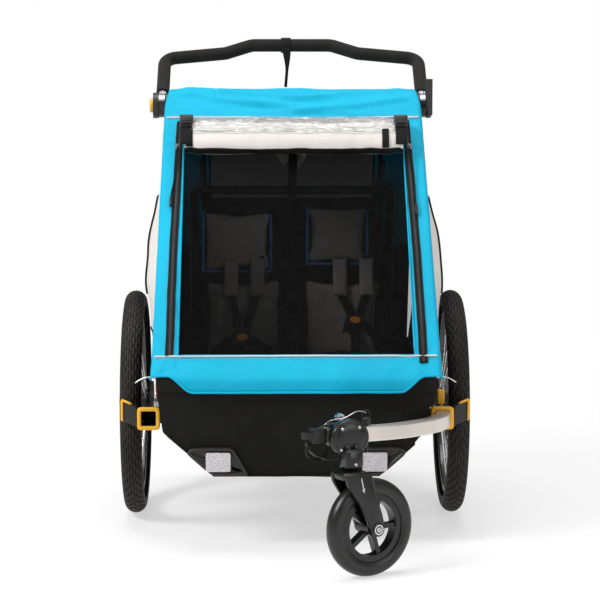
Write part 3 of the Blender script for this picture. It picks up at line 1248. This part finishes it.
def lofted(name, secs, mat, body, slot, r_=3.0, n_=8):
    """Skin through upright rounded rectangles: (x, y0, y1, z0, z1) from inside to outside."""
    verts, faces = [], []
    m_ = 4 * n_
    for x, y0, y1, z0, z1 in secs:
        rr_ = min(r_, abs(y1 - y0) / 2.2, abs(z1 - z0) / 2.2)
        for cx_, cz_, a0 in ((y1 - rr_, z1 - rr_, 0), (y0 + rr_, z1 - rr_, 90), (y0 + rr_, z0 + rr_, 180), (y1 - rr_, z0 + rr_, 270)):
            for i in range(n_):
                a = math.radians(a0 + 90 * i / (n_ - 1))
                verts.append(V(x, cx_ + rr_ * math.cos(a), cz_ + rr_ * math.sin(a)))
    for i in range(len(secs) - 1):
        for j in range(m_):
            j2 = (j + 1) % m_
            faces.append((i * m_ + j, i * m_ + j2, (i + 1) * m_ + j2, (i + 1) * m_ + j))
    faces.append(tuple(range(m_))); faces.append(tuple((len(secs) - 1) * m_ + j for j in reversed(range(m_))))
    o = mesh_obj(name, verts, faces, mat, body, slot)
    bm = bmesh.new(); bm.from_mesh(o.data)
    bmesh.ops.remove_doubles(bm, verts=bm.verts, dist=0.00005)
    bmesh.ops.recalc_face_normals(bm, faces=bm.faces)
    bm.to_mesh(o.data); bm.free()
    return o


gs, ys_ = [], []
for sg in (-1, 1):
    gs.append(lofted("g", [(sg * 330.5, -285, -252, 235, 274), (sg * 336, -285, -252, 236, 277), (sg * 350, -280, -251, 242, 284), (sg * 360, -275, -251, 246, 288),
                           (sg * 362.5, -274, -251, 247, 288.5)], "plastic_black", "chassis", "black_plastic"))
    ys_.append(lofted("y", [(sg * 362.6, -276, -252, 245, 290), (sg * 366, -275, -252, 246, 290), (sg * 367.8, -273, -253, 248, 288)], "plastic_yellow", "chassis", "yellow_plastic"))
    ys_.append(lofted("y2", [(sg * 344, -279, -272, 280.5, 284), (sg * 348, -280.5, -270, 282, 286), (sg * 362.6, -276, -266, 287, 291)], "plastic_yellow", "chassis", "yellow_plastic", 1.2))
    # moulded ring at the receiver's mouth
    rg = []
    for y_, a_, b_ in ((0.2, 23.4, 15.7), (-1.5, 24, 15.6), (-8, 24, 15.6), (-9.6, 23, 16.4), (-9.6, 18.2, 17.2)):
        lp_o = [(a_ * math.copysign(abs(math.cos(t)) ** (2 / 7.0), math.cos(t)), a_ * math.copysign(abs(math.sin(t)) ** (2 / 7.0), math.sin(t))) for t in np.linspace(0, 2 * math.pi, 64, endpoint=False)]
        rg.append((y_, lp_o))
    for y_, b_ in ((-9.6, 16.6), (-8.6, 15.6), (0.2, 15.6)):
        lp_i = [(b_ * math.copysign(abs(math.cos(t)) ** (2 / 14.0), math.cos(t)), b_ * math.copysign(abs(math.sin(t)) ** (2 / 14.0), math.sin(t))) for t in np.linspace(0, 2 * math.pi, 64, endpoint=False)]
        rg.append((y_, lp_i))
    rg = rg[:4] + rg[5:]
    ct, sn = math.cos(math.radians(3.5)), math.sin(math.radians(3.5))
    verts = [V(sg * 308 + a, -290 + y_ * ct + b * sn, 254 - y_ * sn + b * ct) for y_, lp in rg for a, b in lp]
    faces = []
    for i in range(len(rg)):
        i2 = (i + 1) % len(rg)
        for j in range(64):
            j2 = (j + 1) % 64
            faces.append((i * 64 + j, i * 64 + j2, i2 * 64 + j2, i2 * 64 + j))
    o = mesh_obj("yr", verts, faces, "plastic_yellow", "chassis", "yellow_plastic")
    fix_normals(o)
    ys_.append(o)
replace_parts(join(gs, "wheel_guards_shown"), "wheel_guards")
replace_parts(join(ys_, "receiver_rings_shown"), "receiver_sleeves")


def front_at(x, h, n):
    return V(x, -410 - 0.16711 * h - 0.98594 * n, 155 + 0.98594 * h - 0.16711 * n)


tg = [(97, 1.5), (118, 1), (150, 1), (172, 1.5), (186, 12), (200, 25), (213, 37), (224, 48), (222, 56), (212, 61), (190, 62), (136, 62), (127, 57), (116, 38), (104, 16)]
base_ = []
for _ in range(1):
    c_ = np.array(tg, float)
tl = []
cc = np.vstack([c_, c_[:1]])
dd = np.concatenate([[0], np.cumsum(np.hypot(*np.diff(cc, axis=0).T))])
tt = np.linspace(0, dd[-1], 120, endpoint=False)
q0 = np.stack([np.interp(tt, dd, cc[:, 0]), np.interp(tt, dd, cc[:, 1])], 1)
for _ in range(3):
    q0 = (np.roll(q0, 1, 0) + 2 * q0 + np.roll(q0, -1, 0)) / 4
t_ = np.roll(q0, -1, 0) - np.roll(q0, 1, 0)
nr = np.stack([-t_[:, 1], t_[:, 0]], 1)
nr /= np.maximum(np.hypot(nr[:, 0], nr[:, 1])[:, None], 1e-9)
if np.sum(q0[:, 0] * np.roll(q0[:, 1], -1) - np.roll(q0[:, 0], -1) * q0[:, 1]) < 0:
    nr = -nr
tgs = []
for sg in (-1, 1):
    levels = [(0, 0.3), (0, 5.5), (0.8, 8.6), (2.4, 9.6), (5.0, 9.6), (6.6, 8.8), (7.8, 5.4), (8.6, 4.8)]
    verts = [front_at(sg * a, b, n) for ins, n in levels for a, b in (q0 + nr * ins)]
    faces = []
    for i in range(len(levels) - 1):
        for j in range(120):
            j2 = (j + 1) % 120
            faces.append((i * 120 + j, i * 120 + j2, (i + 1) * 120 + j2, (i + 1) * 120 + j))
    faces.append(tuple(range(120))); faces.append(tuple(7 * 120 + j for j in reversed(range(120))))
    o = mesh_obj("tg", verts, faces, "plastic_black", "chassis", "black_plastic")
    fix_normals(o)
    tgs.append(o)
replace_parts(join(tgs, "toe_guards_shown"), "toe_guards")

# end cap on the tail of the empty receiver
def receiver_at(x, y, n):
    p = Vector((-308, -290, 254)) + Vector((1, 0, 0)) * x + Vector((0, 0.0610485, 0.9981348)) * y + Vector((0, -0.9981348, 0.0610485)) * n
    return V(p.x, p.y, p.z)


CAP_LEVELS = [(14.6, -83.4), (15.0, -84.3), (16.4, -84.5), (16.6, -85.2), (16.6, -86.4), (15.6, -87.4), (12.0, -87.8)]

# ------------------------------------------------------------------ stroller unit
FA = math.radians(66.6)
TL = math.radians(3.5)
FNv = Vector((math.cos(FA), -math.sin(FA), 0)); FUv = Vector((math.sin(FA), math.cos(FA), 0))
bxx, byy = -372 + 372 * math.cos(FA), -372 * math.sin(FA)
FOv = Vector((308 + bxx, -290 + byy * math.cos(TL), 254 - byy * math.sin(TL)))
SWv = FOv + FNv * 46
TRv = Vector((0.848, 0.530, 0)).normalized(); SPv = Vector((0.530, -0.848, 0)).normalized()


def flip_at(x, y, z):
    p = FOv + FUv * x + Vector((0, 0, 1)) * y + FNv * z
    return V(p.x, p.y, p.z)


def fork_at(x, y, z):
    p = Vector((SWv.x, SWv.y, 0)) + TRv * x + Vector((0, 0, y)) + SPv * z
    return V(p.x, p.y, p.z)


def rings(name, loops, mat, body, slot, at):
    """Skin through closed loops of local points, capped at both ends."""
    n_ = len(loops[0])
    verts = [at(*p) for lp in loops for p in lp]
    faces = []
    for i in range(len(loops) - 1):
        for j in range(n_):
            j2 = (j + 1) % n_
            faces.append((i * n_ + j, i * n_ + j2, (i + 1) * n_ + j2, (i + 1) * n_ + j))
    faces.append(tuple(range(n_)))
    faces.append(tuple((len(loops) - 1) * n_ + j for j in reversed(range(n_))))
    o = mesh_obj(name, verts, faces, mat, body, slot)
    fix_normals(o)
    return o


def oval(rx, ry, z, cx=0.0, cy=0.0, n_=64, p_=2.0):
    out = []
    for i in range(n_):
        a = 2 * math.pi * i / n_
        c, d = math.cos(a), math.sin(a)
        out.append((cx + rx * math.copysign(abs(c) ** (2 / p_), c), cy + ry * math.copysign(abs(d) ** (2 / p_), d), z))
    return out


rings("receiver_end_cap", [oval(h_, h_, n, 0, 0, 64, 7) for h_, n in CAP_LEVELS], "plastic_black", "chassis", "black_plastic", receiver_at)


def smooth_loop(pts, n_=90, it=3):
    pts = np.array(pts, float)
    c = np.vstack([pts, pts[:1]])
    d = np.concatenate([[0], np.cumsum(np.hypot(*np.diff(c, axis=0).T))])
    t = np.linspace(0, d[-1], n_, endpoint=False)
    q = np.stack([np.interp(t, d, c[:, 0]), np.interp(t, d, c[:, 1])], 1)
    for _ in range(it):
        q = (np.roll(q, 1, 0) + 2 * q + np.roll(q, -1, 0)) / 4
    return q


disc = rings("fd", [oval(31.2, 31.2, 32.2), oval(31.2, 31.2, 25.2), oval(39, 34, 24.6), oval(40, 35.5, 25.4), oval(40, 35.5, 40), oval(39, 34.5, 42.5), oval(36.5, 32, 44.2), oval(34, 29.5, 44.6),
                    oval(33.2, 28.8, 43.8), oval(32.4, 28.0, 44.2), oval(28, 24, 46.4), oval(18, 15, 47.6), oval(6, 5, 48.0)],
             "plastic_gloss_black", "flip_unit", "caster_black", flip_at)
neck = rings("fn", [oval(15, 13, 25, 0, -45, 48, 4), oval(17.5, 14, 27, 0, -46, 48, 5), oval(17.5, 14, 32.2, 0, -46, 48, 5), oval(18.5, 20, 33, 0, -40, 48, 5), oval(18.5, 20, 40, 0, -40, 48, 5), oval(18.5, 20, 57, 0, -40, 48, 5),
                    oval(17.5, 19, 61, 0, -40, 48, 5), oval(15, 16.5, 63.5, 0, -40, 48, 4.5)], "plastic_gloss_black", "flip_unit", "caster_black", flip_at)
rib = rings("fr", [oval(6, 17, 44, -9, -27, 32, 3), oval(6, 17, 52, -9, -29, 32, 3), oval(4, 14, 54, -9, -30, 32, 3)], "plastic_gloss_black", "flip_unit", "caster_black", flip_at)
rib2 = rings("fr2", [oval(6, 17, 44, 9, -27, 32, 3), oval(6, 17, 52, 9, -29, 32, 3), oval(4, 14, 54, 9, -30, 32, 3)], "plastic_gloss_black", "flip_unit", "caster_black", flip_at)
o = join([disc, neck, rib, rib2], "flip_housing_shown")
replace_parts(o, "flip_housing")


def screw(name, at, x, y, z, r, body):
    a = rings("s0", [oval(r * 1.5, r * 1.5, z - 1.5, x, y, 24), oval(r * 1.5, r * 1.5, z - 0.2, x, y, 24), oval(r * 1.25, r * 1.25, z + 0.3, x, y, 24)],
              "plastic_dark", body, "pins_steel", at)
    b = rings("s1", [oval(r, r, z - 1.0, x, y, 24), oval(r, r, z + 1.2, x, y, 24), oval(r * 0.85, r * 0.85, z + 2.0, x, y, 24), oval(r * 0.5, r * 0.5, z + 2.1, x, y, 24),
                     oval(r * 0.42, r * 0.42, z + 0.8, x, y, 24)], "steel", body, "pins_steel", at)
    return [a, b]


scr = []
for x, y, z in ((-19, 19, 45.0), (17, 20, 45.0), (-21, -22, 44.6), (1, -49, 63.6)):
    scr += screw("sc", flip_at, x, y, z, 3.0, "flip_unit")
join(scr, "flip_screws")

CZ = FOv.z - 61.0
blade = [(-30, CZ - 3), (-10, CZ - 0.5), (26, CZ - 3), (32, CZ - 16), (39, CZ - 48), (52, 130), (57, 112), (58, 98), (53, 86), (42, 81), (31, 86), (26, 97),
         (16, 122), (0, 150), (-16, CZ - 42), (-29, CZ - 22)]
loop = smooth_loop(blade)
cen = np.array([10.0, 150.0])
objs = []
for k_ in (1, -1):
    ls = []
    for z_, sc_ in ((20.9, 2.4), (21.2, 0.6), (23, 0.0), (27.0, 0.0), (29.6, 1.2), (30.6, 3.4)):
        # inset each loop by sc_ along its normal
        t_ = np.roll(loop, -1, 0) - np.roll(loop, 1, 0)
        nrm = np.stack([-t_[:, 1], t_[:, 0]], 1)
        nrm /= np.maximum(np.hypot(nrm[:, 0], nrm[:, 1])[:, None], 1e-9)
        area2 = np.sum(loop[:, 0] * np.roll(loop[:, 1], -1) - np.roll(loop[:, 0], -1) * loop[:, 1])
        inw = nrm * (1 if area2 > 0 else -1)
        q = loop + inw * sc_
        ls.append([(float(a), float(b), k_ * z_) for a, b in q])
    objs.append(rings("fb", ls, "plastic_gloss_black", "caster_fork", "caster_black", fork_at))
    # boss round the axle
    objs.append(rings("fbo", [oval(14, 14, k_ * 29.5, 42, 96.7, 40), oval(13.5, 13.5, k_ * 32.3, 42, 96.7, 40), oval(11.5, 11.5, k_ * 33.2, 42, 96.7, 40)],
                      "plastic_gloss_black", "caster_fork", "caster_black", fork_at))
cr = []
for y_, sx_, sz_ in ((CZ - 17, 25, 21.4), (CZ - 16, 27, 27), (CZ - 8, 28.5, 30), (CZ - 3.5, 27, 28.5), (CZ - 1.2, 23, 24), (CZ - 0.3, 16, 17)):
    cr.append([(a - 3, y_, b) for a, b, _ in oval(sx_, sz_, 0, n_=64, p_=3.2)])
objs.append(rings("fc", cr, "plastic_gloss_black", "caster_fork", "caster_black", fork_at))
st = []
for y_, r_ in ((CZ - 1, 13), (CZ + 0.4, 12.5)):
    st.append([(a, y_, b) for a, b, _ in oval(r_, r_, 0, n_=40)])
objs.append(rings("fs", st, "plastic_gloss_black", "caster_fork", "caster_black", fork_at))
o = join(objs, "caster_fork_shown")
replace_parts(o, "caster_fork")
# plain pointer moulded on the outer blade
ar = []
ax0, ay0, ax1, ay1 = 2.0, CZ - 12.0, 9.0, CZ - 42.0
dx_, dy_ = ax1 - ax0, ay1 - ay0
ln_ = math.hypot(dx_, dy_); dx_ /= ln_; dy_ /= ln_
px_, py_ = -dy_, dx_
pts2 = [(ax0 + px_ * 0.9, ay0 + py_ * 0.9), (ax0 + dx_ * 23 + px_ * 0.9, ay0 + dy_ * 23 + py_ * 0.9), (ax0 + dx_ * 22 + px_ * 4, ay0 + dy_ * 22 + py_ * 4), (ax1, ay1),
        (ax0 + dx_ * 22 - px_ * 4, ay0 + dy_ * 22 - py_ * 4), (ax0 + dx_ * 23 - px_ * 0.9, ay0 + dy_ * 23 - py_ * 0.9), (ax0 - px_ * 0.9, ay0 - py_ * 0.9)]
rings("fork_pointer", [[(a, b, 30.4) for a, b in pts2], [(a, b, 31.2) for a, b in pts2]], "piping_white", "caster_fork", "side_cloth", fork_at)
objs = [rings("sb", [oval(8.4, 8.4, 31.8, 42, 96.7, 40), oval(8.4, 8.4, 33.0, 42, 96.7, 40), oval(7.4, 7.4, 33.8, 42, 96.7, 40)],
              "plastic_dark", "caster_fork", "pins_steel", fork_at),
        rings("sc", [oval(5.2, 5.2, 32.6, 42, 96.7, 40), oval(5.2, 5.2, 34.6, 42, 96.7, 40), oval(4.6, 4.6, 35.3, 42, 96.7, 40), oval(2.6, 2.6, 35.9, 42, 96.7, 40)],
              "plastic_silver", "caster_fork", "pins_steel", fork_at)]
join(objs, "axle_bolt")

# caster tyre: round shoulder, moulded ring on each side
verts, faces = [], []
prof = []
for a in range(-90, 91, 9):
    prof.append((79.2 + 17.4 * math.cos(math.radians(a)) ** 0.8, 17.4 * math.sin(math.radians(a))))
side_ = [(75.5, 17.5), (72.5, 16.6), (71.0, 15.0), (69.5, 15.6), (67.2, 13.2)]
full = [(a, -b) for a, b in reversed(side_)] + prof + side_
for i in range(120):
    t_ = 2 * math.pi * i / 120
    for r_, z_ in full:
        verts.append(fork_at(42 + r_ * math.cos(t_), 96.7 + r_ * math.sin(t_), z_))
nf = len(full)
for i in range(120):
    i2 = (i + 1) % 120
    for j in range(nf):
        j2 = (j + 1) % nf
        faces.append((i * nf + j, i * nf + j2, i2 * nf + j2, i2 * nf + j))
o = mesh_obj("caster_tyre_shown", verts, faces, "caster_rubber", "caster_wheel", "tyre")
fix_normals(o)
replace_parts(o, "caster_tyre")

# ------------------------------------------------------------------ CAD nodes that stay
FINISH = {
    "lower_frame": "alu_tube", "pivot_pins": "steel", "axle_sockets": "alu_tube", "wheel_axles": "steel", "floor_tray": "tray_plastic",
    "reflectors": "reflector_prism", "tow_bar_receivers": "plastic_black", 
    "tow_bar": "alu_bar", "flex_connector": "plastic_dark", "flip_clamp": "plastic_gloss_black",
    "brake_housings": "plastic_orange", "brake_cables": "cord_black", "harness_buckles": "plastic_dark",
    "rim_left": "alu_rim", "rim_right": "alu_rim", "spokes_left": "steel", "spokes_right": "steel", "hub_left": "plastic_dark", "hub_right": "plastic_dark",
    "release_button_left": "plastic_silver", "release_button_right": "plastic_silver",
    "main_hoop_tube": "alu_tube", "handle_pivot_cheeks": "plastic_black", "flag_socket": "plastic_black",
    "rear_hoop_tube": "plastic_dark", "top_stays": "plastic_dark", "latch_lever": "plastic_black",
    "handlebar_tube": "tube_two_tone", "handlebar_grip": "foam", "handle_button": "plastic_yellow",
    "tow_bar_pin": "plastic_yellow", "hitch_pin": "plastic_dark", "flip_lock_pin": "steel",
    "caster_axle": "steel", "caster_rim": "plastic_gloss_black",
    "brake_pedal": "plastic_orange", "brake_pin_left": "steel", "brake_pin_right": "steel",
    "buckle_button_left": "plastic_buckle", "buckle_button_right": "plastic_buckle",
}
for n_, mname in FINISH.items():
    o = NODES[n_]
    for sl in o.material_slots:
        sl.material = MATS[mname]
    if not o.material_slots:
        o.data.materials.append(MATS[mname])

# ------------------------------------------------------------------ stage, lights, camera
bm = bmesh.new()
bmesh.ops.create_grid(bm, x_segments=8, y_segments=8, size=40)
me = bpy.data.meshes.new("floor"); bm.to_mesh(me); bm.free()
k = MB("floor_pale")
k.set(Base_Color=k.ramp(k.noise(0.8, 3), [(0.3, (0.93, 0.93, 0.93)), (0.7, (0.95, 0.95, 0.95))]), Roughness=0.9, Specular_IOR_Level=0.0)
# the floor fades into the white surround with distance
ln = k.n("ShaderNodeVectorMath", operation="LENGTH")
k.link(k.co, ln.inputs[0])
mr = k.n("ShaderNodeMapRange")
mr.interpolation_type = "SMOOTHSTEP"
mr.inputs["From Min"].default_value = 0.7
mr.inputs["From Max"].default_value = 2.4
mr.inputs["To Min"].default_value = 0.58
mr.inputs["To Max"].default_value = 1.0
k.link(ln.outputs["Value"], mr.inputs["Value"])
em = k.n("ShaderNodeEmission")
em.inputs["Strength"].default_value = 1.0
mx = k.n("ShaderNodeMixShader")
k.link(mr.outputs[0], mx.inputs[0]); k.link(k.b.outputs[0], mx.inputs[1]); k.link(em.outputs[0], mx.inputs[2]); k.link(mx.outputs[0], k.out.inputs[0])
me.materials.append(MATS["floor_pale"])
floor = bpy.data.objects.new("floor", me)
COL.objects.link(floor)
floor.location.z = -0.0005

w = bpy.data.worlds.new("studio"); bpy.context.scene.world = w
w.use_nodes = True
nt = w.node_tree
bg = nt.nodes["Background"]
bg.inputs[0].default_value = (1, 1, 1, 1)
lp_ = nt.nodes.new("ShaderNodeLightPath")
mp = nt.nodes.new("ShaderNodeMapRange")
mp.inputs["To Min"].default_value = 0.32
mp.inputs["To Max"].default_value = 1.0
nt.links.new(lp_.outputs["Is Camera Ray"], mp.inputs["Value"])
nt.links.new(mp.outputs[0], bg.inputs[1])


def area(name, loc, target, size, power):
    l = bpy.data.lights.new(name, "AREA")
    l.shape = "RECTANGLE"; l.size, l.size_y = size
    l.energy = power
    o = bpy.data.objects.new(name, l)
    COL.objects.link(o)
    o.location = loc
    o.rotation_mode = "QUATERNION"
    o.rotation_quaternion = (Vector(target) - Vector(loc)).to_track_quat("-Z", "Y")
    return o


area("key", (-3.2, -2.2, 3.6), (0, 0, 0.5), (1.6, 1.6), 185)
area("fill", (3.2, -3.4, 2.2), (0, 0, 0.5), (2.4, 2.4), 48)
area("top", (0, 0.2, 4.4), (0, 0, 0.3), (3.0, 2.4), 120)

cam_d = bpy.data.cameras.new("cam")
cam = bpy.data.objects.new("cam", cam_d)
COL.objects.link(cam)
CX, CY, CZ, YAW, PIT, F = -69.4, -4837.6, 976.0, 0.01728, 0.10360, 2190.7
cam_d.sensor_width = 36.0
cam_d.lens = F * 36.0 / 600.0
cam_d.clip_end = 100
cam.location = V(CX, CY, CZ)
fw = Vector((math.sin(YAW) * math.cos(PIT), math.cos(YAW) * math.cos(PIT), -math.sin(PIT)))
cam.rotation_mode = "QUATERNION"
cam.rotation_quaternion = fw.to_track_quat("-Z", "Y")
bpy.context.scene.camera = cam
bpy.context.scene.view_settings.view_transform = "Standard"
bpy.context.scene.view_settings.look = "None"
